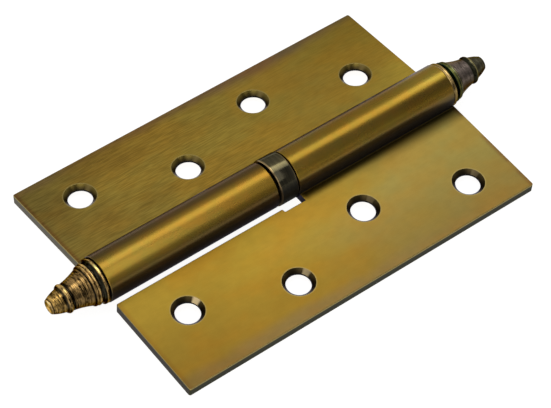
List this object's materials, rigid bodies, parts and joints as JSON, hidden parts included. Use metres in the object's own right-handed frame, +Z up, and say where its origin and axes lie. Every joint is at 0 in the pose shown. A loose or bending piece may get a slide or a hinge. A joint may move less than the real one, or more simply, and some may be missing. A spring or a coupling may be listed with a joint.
{
  "type": "lift-off butt hinge",
  "caption": "Lift-off butt hinge with rolled knuckles, a fixed pin, a middle ring and turned finials; the door leaf swings and lifts off the pin.",
  "frame": {"origin": "on the table that the open hinge lies on, under the middle of the pin", "axes": "+X along the pin towards the end the door leaf lifts off from, +Y towards the frame leaf, +Z up out of the countersunk faces"},
  "size_m": [0.1266, 0.0696, 0.012],
  "materials": {
    "leaf": "brushed, antique bronze plating",
    "pin": "ground steel",
    "ring": "polished, dark bronze plating",
    "finial": "turned, aged bronze"
  },
  "bodies": {
    "frame": {"frame_leaf": "leaf", "pin": "pin", "lower_finial": "finial"},
    "ring": {"middle_ring": "ring"},
    "door": {"door_leaf": "leaf", "upper_finial": "finial"}
  },
  "joints": [
    {"name": "swing", "type": "hinge", "parent": "frame", "child": "ring", "pos_m": [0, 0, 0.006], "axis": [-1, 0, 0], "range_deg": [-110, 186.6]},
    {"name": "lift_off", "type": "slide", "parent": "ring", "child": "door", "axis": [1, 0, 0], "range_m": [0, 0.04]}
  ]
}
